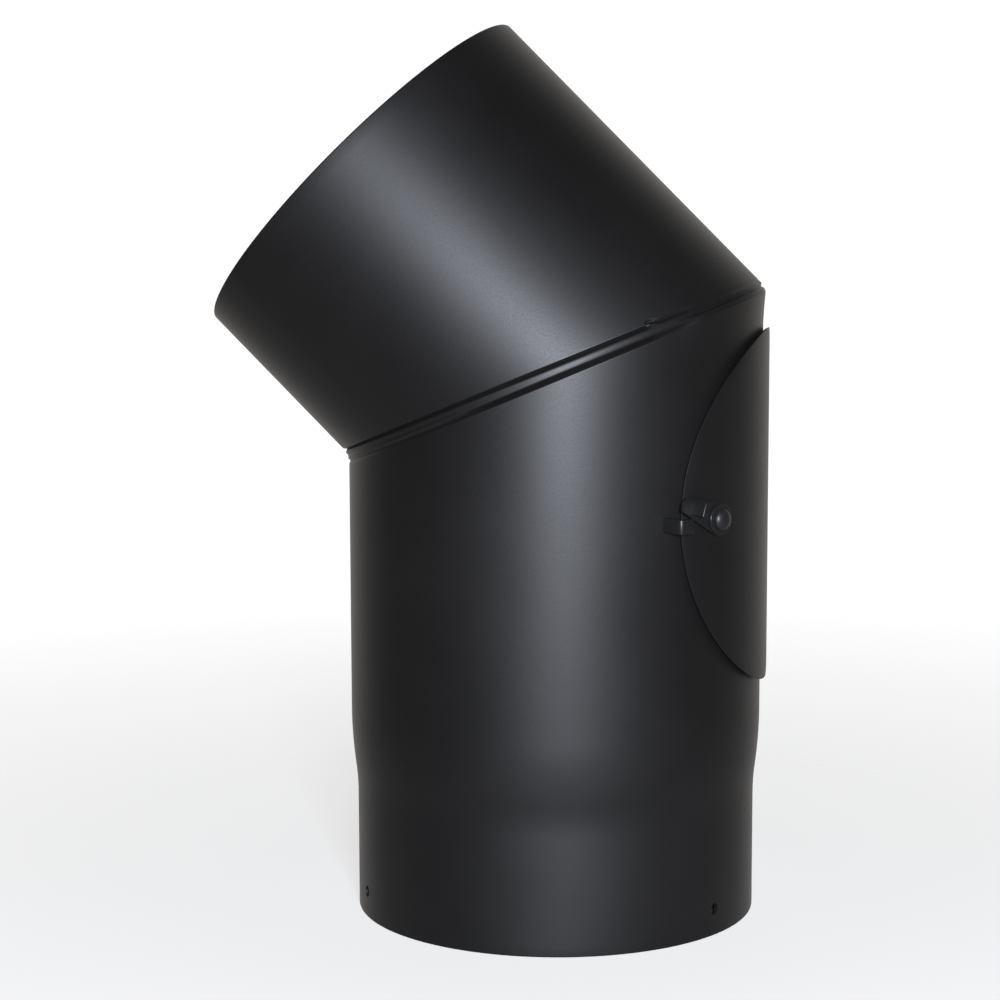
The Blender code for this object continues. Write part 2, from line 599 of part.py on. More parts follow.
def make_keeper(lower_leg):
    """A folded hook riveted to the pipe: the lever's tip turns under its lip."""
    far, near = -KEEPER_POST - KEEPER_SHEET, -KEEPER_POST
    lip_top = KEEPER_LIP_BASE + KEEPER_SHEET
    foot_base = PIPE_RADIUS + GAP
    foot_top = foot_base + KEEPER_SHEET
    # the foot lies on the pipe, so it is turned back from the pivot's own tangent
    foot_angle = math.asin(KEEPER_POST / foot_top) - KEEPER_FOOT / 4 / PIPE_RADIUS
    sine, cosine = math.sin(foot_angle), math.cos(foot_angle)

    def on_foot(across, radius):
        """The point of the foot's face at this radius that lies at this place across."""
        along = (across + radius * sine) / cosine
        return across, radius * cosine + along * sine

    foot_near = far + KEEPER_FOOT
    outline = [on_foot(foot_near, foot_base), on_foot(far, foot_base), (far, lip_top),
               (far + KEEPER_LIP, lip_top), (far + KEEPER_LIP, KEEPER_LIP_BASE),
               (near, KEEPER_LIP_BASE), on_foot(near, foot_top), on_foot(foot_near, foot_top)]
    place = radial_place(PIVOT_AZIMUTH, KEEPER_HEIGHT) @ Matrix.Rotation(math.pi / 2, 4, "X")
    mesh = plate_mesh("latch_keeper", outline, KEEPER_WIDTH)
    keeper = add_object("latch_keeper", mesh, BLACK, place)

    rivet_across = near + (foot_near - near) * KEEPER_RIVET_PLACE
    rivet_azimuth = PIVOT_AZIMUTH + math.degrees(math.atan2(*on_foot(rivet_across, foot_top)))
    rivet_hole((lower_leg, keeper), "keeper_rivet_hole", rivet_azimuth, KEEPER_HEIGHT,
               KEEPER_RIVET_RADIUS, foot_base + 2 * KEEPER_SHEET)
    make_rivet("keeper_rivet", rivet_azimuth, KEEPER_HEIGHT, INNER_RADIUS, foot_top,
               KEEPER_RIVET, DARK_STEEL)


def make_latch(lower_leg, plate, liner):
    """The lever on its rivet, with a spring washer under it and a flat washer over it."""
    place = radial_place(PIVOT_AZIMUTH, DOOR_HEIGHT)
    hole = PIVOT_RADIUS + RUNNING_CLEARANCE
    spring = ring_mesh("latch_spring_washer", hole, SPRING_WASHER_RADIUS, SPRING_WASHER_BASE,
                       SPRING_WASHER_BASE + SPRING_WASHER_THICKNESS)
    spring = add_object("latch_spring_washer", spring, DARK_STEEL, place)
    washer = ring_mesh("latch_washer", hole, WASHER_RADIUS, WASHER_BASE,
                       WASHER_BASE + WASHER_THICKNESS)
    washer = add_object("latch_washer", washer, BLACK, place)
    rivet_hole((plate, liner), "pivot_hole", PIVOT_AZIMUTH, DOOR_HEIGHT, PIVOT_RADIUS)
    rivet = make_rivet("latch_pivot_rivet", PIVOT_AZIMUTH, DOOR_HEIGHT, LINER_INNER_FACE,
                       WASHER_BASE + WASHER_THICKNESS, PIVOT_RIVET, BLACK, 24)
    make_keeper(lower_leg)
    return [spring, washer, rivet, make_lever()]


def make_elbow():
    """The legs, and the door with everything that swings on the hinge's axis."""
    lower_leg = make_lower_leg()
    make_upper_leg()
    plate, liner, gasket = make_door()
    hinge_axis, strap_pieces = make_hinge(lower_leg, plate, liner)
    latch_pieces = make_latch(lower_leg, plate, liner)
    turn_with([plate, liner, gasket, *strap_pieces, *latch_pieces], hinge_axis)


make_elbow()
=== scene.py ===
"""Looks of the flue elbow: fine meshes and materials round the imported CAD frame.

Shapes are worked out in millimetres in the frame's own axes (+Z up the lower leg, +X to the
door) and turned into metres when a mesh is made.
"""
import math

import bmesh
import bpy
from mathutils import Matrix, Vector


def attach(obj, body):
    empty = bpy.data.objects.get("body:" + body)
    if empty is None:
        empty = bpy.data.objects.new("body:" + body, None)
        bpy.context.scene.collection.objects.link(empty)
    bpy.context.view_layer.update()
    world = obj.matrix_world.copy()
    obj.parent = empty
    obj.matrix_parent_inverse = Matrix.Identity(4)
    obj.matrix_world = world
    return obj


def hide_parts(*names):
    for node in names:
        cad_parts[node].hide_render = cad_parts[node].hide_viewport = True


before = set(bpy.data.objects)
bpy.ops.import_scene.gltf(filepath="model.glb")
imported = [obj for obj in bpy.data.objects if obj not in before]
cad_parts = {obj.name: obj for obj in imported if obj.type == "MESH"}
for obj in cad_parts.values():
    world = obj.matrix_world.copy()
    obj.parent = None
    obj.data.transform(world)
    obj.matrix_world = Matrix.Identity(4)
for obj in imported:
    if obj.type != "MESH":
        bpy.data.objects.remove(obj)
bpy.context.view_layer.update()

METRES = 0.001

# ------------------------------------------------------------------ sizes, in millimetres
PIPE = 76.5                     # outer radius
SHEET = 1.5
BORE = PIPE - SHEET
LOWER_LEG = 201.0
UPPER_LEG = 102.0
BEND = math.radians(45)
SPIGOT = 74.3                   # outer radius of the reduced end
SPIGOT_LENGTH = 43.0
SWAGE = 33.0
SWAGE_KNEE = 1 / 3              # how far up the swage it is steepest
ROUND_STEPS = 480
GAP = 0.3                       # left between pieces that touch

HOLE_RADIUS = 2.1               # screw holes in the spigot
HOLE_HEIGHT = 9.8
HOLE_AZIMUTHS = (-150, -30, 90)
WELD_AZIMUTH = math.radians(148)
WELD_HEIGHT = 0.10
WELD_WIDTH = 1.3

NECK = PIPE - 1.75              # outer radius of the lower leg under the seam's bead
LIP_IN = PIPE - 1.5             # inner face of the bead's turned lip
LIP_EDGE = -2.4                 # where the lip ends, from the mitre
FLANGE_TIP = PIPE - 0.9

DOOR_HEIGHT = 153.0
DOOR_RADIUS = 64.5
DOOR_STAND_OFF = 1.4            # pipe to the inner face of the door's sheet
DOOR_FACE_OFF = 2.4             # pipe to its outer face
DOOR_FACE = PIPE + DOOR_FACE_OFF
RIM_CLEARANCE = 1.0
RIM_WIDTH = 1.5
OPENING = 56.0
LINER = 54.5
LINER_SHEET = 1.0
LINER_LIP = 1.5                 # how far the liner's rim reaches into the opening
GASKET_WIDTH = 5.0
GASKET_THICKNESS = 0.8
PIVOT_INSET = 15.8              # door's edge to the latch's pivot
PIVOT_AZIMUTH = -math.degrees((DOOR_RADIUS - PIVOT_INSET) / DOOR_FACE)

MITRE_SLOPE = math.tan(BEND / 2)
UPPER_AXIS = Vector((-math.sin(BEND), 0, math.cos(BEND)))
UPPER_SIDE = Vector((math.cos(BEND), 0, math.sin(BEND)))
UP = Vector((0, 0, 1))
BEHIND = (-0.165, 0.986, 0)      # level, away from the camera


# ------------------------------------------------------------------------ node materials

class Shader:
    """A material's node tree, with a short way to add nodes and join them."""

    def __init__(self, name, roughness, metallic=0.0):
        self.material = bpy.data.materials.new(name)
        self.material.use_nodes = True
        self.nodes = self.material.node_tree.nodes
        self.links = self.material.node_tree.links
        self.nodes.clear()
        self.output = self.add("ShaderNodeOutputMaterial")
        self.surface = self.add("ShaderNodeBsdfPrincipled")
        self.surface.inputs["Roughness"].default_value = roughness
        self.surface.inputs["Metallic"].default_value = metallic
        self.join(self.surface.outputs["BSDF"], self.output.inputs["Surface"])
        self.place = self.add("ShaderNodeTexCoord").outputs["Object"]

    def add(self, kind, **values):
        """A new node, with its properties and its unlinked inputs set by name."""
        node = self.nodes.new(kind)
        for name, value in values.items():
            if name in node.inputs:
                node.inputs[name].default_value = value
            else:
                setattr(node, name, value)
        return node

    def join(self, source, target):
        self.links.new(source, target)

    def noise(self, scale, detail, roughness, stretch=None):
        """A noise texture's value; scale is in cycles per metre."""
        node = self.add("ShaderNodeTexNoise", Scale=scale, Detail=detail, Roughness=roughness)
        source = self.place
        if stretch:
            mapping = self.add("ShaderNodeMapping", Scale=stretch)
            self.join(source, mapping.inputs["Vector"])
            source = mapping.outputs["Vector"]
        self.join(source, node.inputs["Vector"])
        return node.outputs["Fac"]

    def span(self, value, low, high, new_low, new_high):
        """Maps a value from one range to another, clamped."""
        node = self.add("ShaderNodeMapRange")
        for name, number in (("From Min", low), ("From Max", high), ("To Min", new_low),
                             ("To Max", new_high)):
            node.inputs[name].default_value = number
        self.join(value, node.inputs["Value"])
        return node.outputs["Result"]

    def maths(self, operation, first, second):
        """A Math node on two sockets or numbers."""
        node = self.add("ShaderNodeMath", operation=operation)
        for socket, value in zip(node.inputs, (first, second)):
            if isinstance(value, (int, float)):
                socket.default_value = value
            else:
                self.join(value, socket)
        return node.outputs[0]

    def blend(self, amount, first, second):
        """A mix of two colours by a value."""
        node = self.add("ShaderNodeMix", data_type="RGBA")
        self.join(amount, node.inputs[0])
        for socket, value in ((node.inputs[6], first), (node.inputs[7], second)):
            if isinstance(value, tuple):
                socket.default_value = (*value, 1)
            else:
                self.join(value, socket)
        return node.outputs[2]

    def bump(self, *layers):
        """Stacks bumps: each layer is (value, distance in metres, strength)."""
        normal = None
        for value, distance, strength in layers:
            node = self.add("ShaderNodeBump", Distance=distance, Strength=strength)
            self.join(value, node.inputs["Height"])
            if normal is not None:
                self.join(normal, node.inputs["Normal"])
            normal = node.outputs["Normal"]
        self.join(normal, self.surface.inputs["Normal"])


def stove_black(name, colour, roughness, grain=1.0, dust=0.03):
    """Satin-black coating: fine orange peel, a faint mottle, soft patches and a little dust."""
    shader = Shader(name, roughness)
    patches = shader.noise(14, 3, 0.55)
    mottle = shader.noise(330, 2, 0.5, (1, 1, 0.8))
    peel = shader.noise(1500, 3, 0.6)
    specks = shader.noise(5200, 2, 0.5)
    lighter = tuple(channel * 1.35 + 0.001 for channel in colour)
    toned = shader.blend(shader.span(patches, 0.35, 0.68, 0, 1), colour, lighter)
    dusty = shader.span(specks, 0.66, 0.80, 0, dust)
    shader.join(shader.blend(dusty, toned, (0.20, 0.19, 0.18)), shader.surface.inputs["Base Color"])
    varied = shader.maths("ADD", shader.span(patches, 0.3, 0.7, -0.018, 0.018),
                          shader.span(peel, 0.25, 0.75, roughness - 0.03, roughness + 0.03))
    shader.join(varied, shader.surface.inputs["Roughness"])
    shader.bump((mottle, 0.00003, 0.20 * grain), (peel, 0.00006, 0.22 * grain),
                (specks, 0.00003, 0.16 * grain))
    return shader.material


def dark_steel(name, colour, roughness):
    """Oxidised steel with fine draw marks."""
    shader = Shader(name, roughness, 0.85)
    marks = shader.noise(900, 4, 0.6, (1, 1, 0.08))
    patches = shader.noise(60, 4, 0.6)
    darker = tuple(channel * 0.55 for channel in colour)
    shader.join(shader.blend(shader.span(patches, 0.35, 0.7, 0, 1), colour, darker),
                shader.surface.inputs["Base Color"])
    shader.join(shader.span(patches, 0.3, 0.7, roughness - 0.08, roughness + 0.12),
                shader.surface.inputs["Roughness"])
    shader.bump((marks, 0.00005, 0.35), (patches, 0.0001, 0.15))
    return shader.material


def gasket_fibre(name):
    """Pressed mineral fibre: pale grey, fuzzy and matt."""
    shader = Shader(name, 0.95)
    strands = shader.noise(2600, 6, 0.75, (1, 1, 2.2))
    clumps = shader.noise(420, 5, 0.6)
    mixed = shader.maths("MULTIPLY", strands, clumps)
    shader.join(shader.blend(shader.span(mixed, 0.12, 0.42, 0, 1), (0.16, 0.15, 0.13),
                             (0.40, 0.38, 0.34)), shader.surface.inputs["Base Color"])
    shader.surface.inputs["Sheen Weight"].default_value = 0.25
    shader.bump((strands, 0.0002, 0.6), (clumps, 0.0003, 0.4))
    return shader.material


BLACK_TONE = (0.0050, 0.0045, 0.0043)
PIPE_BLACK = stove_black("pipe_black", BLACK_TONE, 0.475)
DOOR_BLACK = stove_black("door_black", (0.0053, 0.0048, 0.0046), 0.47)
FITTING_BLACK = stove_black("fitting_black", (0.0080, 0.0078, 0.0076), 0.40, 0.7)
DOME_BLACK = stove_black("dome_black", (0.011, 0.011, 0.011), 0.42, 0.5, 0.02)
RIVET_BLACK = stove_black("rivet_black", (0.011, 0.011, 0.011), 0.30, 0.5, 0.02)
STEEL = dark_steel("dark_steel_finish", (0.16, 0.16, 0.165), 0.38)
FIBRE = gasket_fibre("gasket_fibre_finish")


# --------------------------------------------------------------------------- mesh helpers

SHARP = 35                      # degrees between faces whose edge is kept sharp
SHARP_AT_JOINS = 40
EASE_STEPS = 5


def new_piece(name, verts, faces, finish, body=None, nodes=(), slot=None):
    """A piece from points in millimetres, riding on its body in place of its CAD nodes.

    Without a body it is only a helper for a cut or a join.
    """
    mesh = bpy.data.meshes.new(name)
    mesh.from_pydata([Vector(vert) * METRES for vert in verts], [], faces)
    bm = bmesh.new()
    bm.from_mesh(mesh)
    bmesh.ops.recalc_face_normals(bm, faces=bm.faces)
    bm.to_mesh(mesh)
    bm.free()
    mesh.materials.append(finish)
    piece = bpy.data.objects.new(name, mesh)
    bpy.context.scene.collection.objects.link(piece)
    smooth(piece, SHARP)
    if body:
        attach(piece, body)
        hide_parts(*nodes)
    return piece


def smooth(piece, sharp):
    """Smooth faces, with edges over this many degrees kept sharp."""
    piece.data.shade_smooth()
    piece.data.set_sharp_from_angle(angle=math.radians(sharp))


def apply_modifiers(piece):
    """Turns a piece's modifiers into its mesh."""
    evaluated = piece.evaluated_get(bpy.context.evaluated_depsgraph_get())
    made = bpy.data.meshes.new_from_object(evaluated)
    piece.modifiers.clear()
    old = piece.data
    piece.data = made
    made.name = piece.name
    bpy.data.meshes.remove(old)


def cut(piece, cutters, operation="DIFFERENCE", sharp=SHARP):
    """Cuts a piece by other meshes, or joins them to it, and then removes them."""
    for cutter in cutters:
        modifier = piece.modifiers.new(cutter.name, "BOOLEAN")
        modifier.operation = operation
        modifier.solver = "EXACT"
        modifier.object = cutter
    apply_modifiers(piece)
    for cutter in cutters:
        bpy.data.objects.remove(cutter, do_unlink=True)
    smooth(piece, sharp)


def bevel(piece, width, segments):
    """Rounds a piece's sharp edges by a width in millimetres."""
    modifier = piece.modifiers.new("edges", "BEVEL")
    modifier.width = width * METRES
    modifier.segments = segments
    modifier.limit_method = "ANGLE"
    modifier.angle_limit = math.radians(30)
    apply_modifiers(piece)
    smooth(piece, SHARP_AT_JOINS)


def curve_through(corners, closed=True):
    """An outline whose corners are eased: each corner is (a, b, length cut off either side)."""
    points = []
    count = len(corners)
    for index, (a, b, ease) in enumerate(corners):
        here = Vector((a, b))
        if ease <= 0 or (not closed and index in (0, count - 1)):
            points.append((a, b))
            continue
        before = Vector(corners[index - 1][:2])
        after = Vector(corners[(index + 1) % count][:2])
        start = here + (before - here).normalized() * min(ease, (before - here).length * 0.49)
        end = here + (after - here).normalized() * min(ease, (after - here).length * 0.49)
        for step in range(EASE_STEPS + 1):
            share = step / EASE_STEPS
            point = start * (1 - share) ** 2 + here * 2 * share * (1 - share) + end * share ** 2
            points.append((point.x, point.y))
    return points


def filled_in(points, longest):
    """Adds points to the long straight stretches of a closed outline."""
    result = []
    for first, second in zip(points, points[1:] + points[:1]):
        result.append(first)
        pieces = math.ceil(math.dist(first, second) / longest)
        for step in range(1, pieces):
            share = step / pieces
            result.append(tuple(a + (b - a) * share for a, b in zip(first, second)))
    return result


def ring_sweep(profile, steps, place):
    """Sweeps a closed profile once round: place(radius, offset, angle) gives the point."""
    verts, faces = [], []
    count = len(profile)
    for turn in range(steps):
        angle = math.tau * turn / steps
        verts += [place(radius, offset, angle) for radius, offset in profile]
    for turn in range(steps):
        here, there = turn * count, (turn + 1) % steps * count
        for index in range(count):
            after = (index + 1) % count
            faces.append((here + index, there + index, there + after, here + after))
    return verts, faces


def solid_sweep(profile, steps, place):
    """Turns a profile that starts and ends on the axis into a closed solid."""
    inner = profile[1:-1]
    verts = [place(*profile[0], 0), place(*profile[-1], 0)]
    count = len(inner)
    for turn in range(steps):
        angle = math.tau * turn / steps
        verts += [place(radius, offset, angle) for radius, offset in inner]
    faces = []
    for turn in range(steps):
        here, there = 2 + turn * count, 2 + (turn + 1) % steps * count
        faces.append((0, there, here))
        faces.append((1, here + count - 1, there + count - 1))
        for index in range(count - 1):
            faces.append((here + index, there + index, there + index + 1, here + index + 1))
    return verts, faces


def polar(radius, offset, angle):
    """A turned point about +Z."""
    return Vector((radius * math.cos(angle), radius * math.sin(angle), offset))


def along_radius(azimuth, height, turn=0.0):
    """Local +Z out along the pipe's radius, +X round it and +Y up, turned about +Z."""
    angle = math.radians(azimuth)
    out = Vector((math.cos(angle), math.sin(angle), 0))
    around = Vector((-math.sin(angle), math.cos(angle), 0))
    matrix = Matrix((around, UP, out)).transposed().to_4x4()
    return Matrix.Translation(UP * height) @ matrix @ Matrix.Rotation(math.radians(turn), 4, "Z")


def placed(verts, matrix):
    """Points moved by a matrix."""
    return [matrix @ Vector(vert) for vert in verts]


def plug(name, radius, start, end, matrix, steps=32):
    """A cylinder used as a cutter."""
    profile = [(0, start), (radius, start), (radius, end), (0, end)]
    verts, faces = solid_sweep(profile, steps, polar)
    return new_piece(name, placed(verts, matrix), faces, PIPE_BLACK)


def step_between(value, low, high):
    """0 below low, 1 above high, and a smooth rise between."""
    share = min(1.0, max(0.0, (value - low) / (high - low)))
    return share * share * (3 - 2 * share)


def degrees_of(angle):
    """An angle in degrees from -180 to 180."""
    return math.degrees(math.atan2(math.sin(angle), math.cos(angle)))


# ------------------------------------------------------------------------------- the legs

LOCK_AZIMUTH = -54.0            # where the seam's strip ends and is crimped over itself
GROOVE_OFFSET = 2.4             # mitre to the middle of each groove
BEAD_HEIGHT = 0.35
UPPER_GROOVE = (0.95, 0.85)     # depth, half width
LOWER_GROOVE = (1.25, 1.1)
HEEL_CREASE = (1.1, 1.0)
FLARE = 0.75                    # how far the heel of the lower leg stands out
FLARE_TOP = -3                  # from the mitre
FLARE_REACH = 11                # down the leg from there
LOWER_SHAPED = -16              # from the mitre to where the seam's shape ends on each leg
UPPER_SHAPED = 8
# azimuths between which the seam goes from one shape to the next
GROOVE_DEEPENS = (LOCK_AZIMUTH - 54, LOCK_AZIMUTH - 41)
HOOK_RISES = (LOCK_AZIMUTH - 0.5, LOCK_AZIMUTH + 0.2)
HOOK_FALLS = (LOCK_AZIMUTH + 0.6, LOCK_AZIMUTH + 3.0)
PRESSED_FROM = (LOCK_AZIMUTH, LOCK_AZIMUTH + 2.5)
HEEL_FROM = (LOCK_AZIMUTH + 7, LOCK_AZIMUTH + 15)
BACK_FROM = (62, 95)
BACK_DEEPENS = (100, 130)
BACK_FADES = (150, 178)


def mitre_point(radius, offset, angle):
    """A point below the mitre: offset is measured straight up from it, so it is negative."""
    x, y = radius * math.cos(angle), radius * math.sin(angle)
    return Vector((x, y, LOWER_LEG + x * MITRE_SLOPE)) + UP * offset


def weld_ridge(angle, radius):
    """The sheet's ground weld, a low ridge up the hidden side of the lower leg."""
    if radius < BORE + 0.5:
        return 0.0
    away = math.radians(degrees_of(angle - WELD_AZIMUTH)) * PIPE
    return WELD_HEIGHT * math.exp(-(away / WELD_WIDTH) ** 2)


def lower_place(radius, offset, angle):
    """Profile offsets are from the mitre: flat rings low down, tilted ones near the seam."""
    radius += weld_ridge(angle, radius)
    tilt = step_between(offset, -LOWER_LEG + 62, -18)
    x, y = radius * math.cos(angle), radius * math.sin(angle)
    return Vector((x, y, LOWER_LEG + offset + tilt * x * MITRE_SLOPE))


def crease(value, centre, size):
    """A V-shaped groove's depth here; size is its depth and half its width."""
    depth, half = size
    return depth * max(0.0, 1 - abs(value - centre) / half)


def seam_relief(offset, angle):
    """How far the rolled seam stands out from the pipe, this far from the mitre.

    Beyond the lock the strip is pressed flat: on the heel the lower leg flares out to meet it.
    """
    azimuth = degrees_of(angle)
    back = step_between(azimuth, *BACK_FROM)
    pressed = step_between(azimuth, *PRESSED_FROM) * (1 - back)
    heel = step_between(azimuth, *HEEL_FROM) * (1 - back)
    jump = step_between(azimuth, *HOOK_RISES) - step_between(azimuth, *HOOK_FALLS)
    hooked = 0.35 + 0.65 * step_between(azimuth, *GROOVE_DEEPENS)
    hooked = max(hooked, step_between(azimuth, *BACK_DEEPENS) - step_between(azimuth, *BACK_FADES))
    upper, lower = GROOVE_OFFSET + 0.3 * pressed + 1.5 * jump, -GROOVE_OFFSET
    bead = BEAD_HEIGHT * (1 - heel) * (step_between(offset, lower, lower + 1.6)
                                       - step_between(offset, upper - 1.6, upper))
    grooves = ((1 - 0.25 * pressed - 0.65 * heel) * crease(offset, upper, UPPER_GROOVE)
               + hooked * (1 - 0.4 * pressed) * (1 - heel) * crease(offset, lower, LOWER_GROOVE)
               + heel * crease(offset, 0, HEEL_CREASE))
    if offset < FLARE_TOP:
        down = (FLARE_TOP - offset) / FLARE_REACH
        flare = FLARE * max(0.0, 1 - down) ** 1.3
    else:
        flare = FLARE * (1 - step_between(offset, FLARE_TOP, -0.2))
    return bead - grooves + flare * heel


def lower_seam_place(radius, offset, angle):
    """The lower leg, with its outer face shaped beside the seam."""
    if offset > LOWER_SHAPED and radius > PIPE - 0.01:
        radius += seam_relief(offset, angle)
    return lower_place(radius, offset, angle)


def upper_place(radius, offset, angle):
    """The upper leg, with its outer face shaped into the seam's bead."""
    if offset < UPPER_SHAPED and radius > PIPE - 0.01:
        radius += seam_relief(offset, angle)
    if offset < 0:
        return mitre_point(radius, offset, angle)
    x, y = radius * math.cos(angle), radius * math.sin(angle)
    tilt = 1 - step_between(offset, 14, UPPER_LEG - 4)
    return (UP * LOWER_LEG + UPPER_SIDE * x + Vector((0, y, 0))
            + UPPER_AXIS * (offset - tilt * x * MITRE_SLOPE))


def outer_run(start, end, step=0.2):
    """Closely spaced points on the pipe's outer face."""
    count = round(abs(end - start) / step)
    return [(PIPE, start + (end - start) * index / count) for index in range(count + 1)]


def swage_points(base_radius, top_radius):
    """The S curve from spigot to pipe."""
    steps = 18
    points = []
    for step in range(steps + 1):
        share = step / steps
        if share < SWAGE_KNEE:
            rise = share ** 2 / SWAGE_KNEE
        else:
            rise = 1 - (1 - share) ** 2 / (1 - SWAGE_KNEE)
        points.append((base_radius + (top_radius - base_radius) * rise,
                       SPIGOT_LENGTH + SWAGE * share - LOWER_LEG))
    return points


def make_lower_leg():
    """Spigot, swage, pipe and the seam's flange, with the door's opening and three screw holes."""
    bottom = -LOWER_LEG
    spigot_in = SPIGOT - SHEET
    outside = swage_points(SPIGOT, PIPE)
    inside = swage_points(spigot_in, BORE)[::-1]
    foot = curve_through([(spigot_in, bottom + 4, 0), (spigot_in, bottom, 0.45),
                          (SPIGOT, bottom, 0.55), (SPIGOT, bottom + 4, 0)], False)
    seam = outer_run(-18, -5, 1.0) + outer_run(-4.8, LIP_EDGE - 0.04)
    seam += curve_through([(NECK, LIP_EDGE, 0), (NECK, -0.7, 0.15), (FLANGE_TIP, -0.7, 0.2),
                           (FLANGE_TIP, 0.7, 0.2), (NECK - SHEET, 0.7, 0.2),
                           (NECK - SHEET, -3.6, 0.5), (BORE, -5.0, 0.7), (BORE, -8.0, 0)], False)
    profile = filled_in(foot + outside + seam + inside, 6)
    verts, faces = ring_sweep(profile, ROUND_STEPS, lower_seam_place)
    leg = new_piece("lower_leg_skin", verts, faces, PIPE_BLACK, "elbow", ["lower_leg"],
                    "stove_black")
    cutters = [bent_disc_cutter("opening_cut", OPENING)]
    for number, azimuth in enumerate(HOLE_AZIMUTHS):
        place = along_radius(azimuth, HOLE_HEIGHT)
        cutters.append(plug(f"screw_hole_{number}", HOLE_RADIUS, 60, 90, place))
    cut(leg, cutters)


def make_upper_leg():
    """Socket end, pipe, and the rolled bead that closes over the lower leg's flange."""
    rim = curve_through([(BORE, UPPER_LEG - 5, 0), (BORE, UPPER_LEG, 0.45),
                         (PIPE, UPPER_LEG, 0.55), (PIPE, UPPER_LEG - 5, 0)], False)
    seam = outer_run(UPPER_SHAPED, LIP_EDGE)
    seam += curve_through([(LIP_IN, LIP_EDGE, 0), (LIP_IN, -1.2, 0.15), (PIPE - 0.65, -1.1, 0.2),
                           (PIPE - 0.65, 1.1, 0.2), (NECK - SHEET, 1.1, 0.2),
                           (NECK - SHEET, 3.6, 0.5), (BORE, 5.0, 0.7), (BORE, 8.0, 0)], False)
    profile = filled_in(rim + seam, 6)
    verts, faces = ring_sweep(profile, ROUND_STEPS, upper_place)
    new_piece("upper_leg_skin", verts, faces, PIPE_BLACK, "elbow", ["upper_leg"],
              "stove_black")


# ------------------------------------------------------------------------------- the door

DOOR_STEPS = 180
CUT_REACH = 22                  # how far the opening's cutter goes either side of the wall


def bent(radius, stand_off, angle):
    """A point of a disc bent round the pipe: radius along the door's face, stand_off from it."""
    around, up = radius * math.cos(angle), radius * math.sin(angle)
    turn, distance = around / DOOR_FACE, PIPE + stand_off
    return Vector((distance * math.cos(turn), distance * math.sin(turn), DOOR_HEIGHT + up))


def bent_disc_cutter(name, radius):
    """A round cutter through the pipe's wall, bent as the door is."""
    rings = [radius * step / 6 for step in range(1, 6)]
    profile = [(ring, -CUT_REACH) for ring in (0, *rings, radius)]
    profile += [(ring, CUT_REACH) for ring in (radius, *rings[::-1], 0)]
    verts, faces = solid_sweep(profile, 144, bent)
    return new_piece(name, verts, faces, PIPE_BLACK)


def bent_solid(name, outline, finish, nodes, slot):
    """A disc of the door from its profile, which starts and ends on the door's axis."""
    rings = []
    for first, second in zip(outline, outline[1:]):
        pieces = max(1, math.ceil(math.dist(first, second) / 4))
        rings += [tuple(a + (b - a) * step / pieces for a, b in zip(first, second))
                  for step in range(pieces)]
    rings.append(outline[-1])
    verts, faces = solid_sweep(rings, DOOR_STEPS, bent)
    new_piece(name, verts, faces, finish, "door", nodes, slot)


def make_door():
    """The plate with its low rim, undercut to a sharp edge, the liner pan and the gasket."""
    face, inner, rim = DOOR_FACE_OFF, DOOR_STAND_OFF, RIM_CLEARANCE
    rim_in = DOOR_RADIUS - RIM_WIDTH
    shape = curve_through([(0, inner, 0), (rim_in - 0.1, inner, 0.2), (rim_in, rim, 0.15),
                           (DOOR_RADIUS - 0.5, rim, 0.1), (DOOR_RADIUS, face - 0.15, 0.08),
                           (DOOR_RADIUS - 2.5, face, 2.0), (0, face, 0)], False)
    bent_solid("door_plate_skin", shape, DOOR_BLACK, ["door_plate"], "stove_black")

    lip = LINER - LINER_SHEET
    front = DOOR_STAND_OFF - GAP
    back = front - LINER_SHEET
    shape = curve_through([(0, back, 0), (lip, back, 0.7), (lip, -LINER_LIP, 0.3),
                           (LINER, -LINER_LIP, 0.3), (LINER, front, 0.9), (0, front, 0)], False)
    bent_solid("door_liner_skin", shape, STEEL, ["door_liner"], "dark_steel")

    low = OPENING + 2 * GAP
    high, top = low + GASKET_WIDTH, GAP + GASKET_THICKNESS
    ring = curve_through([(low, GAP, 0.2), (high, GAP, 0.2), (high, top, 0.3), (low, top, 0.3)])
    verts, faces = ring_sweep(ring, 220, bent)
    new_piece("door_gasket_skin", verts, faces, FIBRE, "door", ["door_gasket"], "gasket_fibre")


# ------------------------------------------------------------------- rivets and washers

# radius of the shank and of the head, the head's height, and the tail's radius and height
HINGE_RIVET = (1.5, 3.0, 1.6, 2.4, 1.1)
PIVOT_RIVET = (2.0, 3.8, 2.4, 3.1, 1.1)
KEEPER_RIVET = (0.8, 1.4, 0.9, 1.4, 0.9)
HEAD_RIM = 0.25                 # upright edge under the dome
PIVOT_HOLE = 2.08


def rivet(name, azimuth, height, under, over, sizes, finish, body, node, slot):
    """A domed rivet through whatever lies between two distances from the pipe's axis."""
    shank, head, head_height, tail, tail_height = sizes
    dome = [(head * math.cos(math.radians(a)), over + HEAD_RIM + (head_height - HEAD_RIM)
             * math.sin(math.radians(a))) for a in range(0, 90, 6)]
    profile = [(0, under - tail_height), *curve_through(
        [(tail - 0.6, under - tail_height, 0), (tail, under - tail_height, 0.5), (tail, under, 0.2),
         (shank, under, 0)], False), (shank, over), (head - 0.12, over), *dome,
        (0, over + head_height)]
    verts, faces = solid_sweep(profile, 48, polar)
    verts = placed(verts, along_radius(azimuth, height))
    new_piece(name, verts, faces, finish, body, [node], slot)


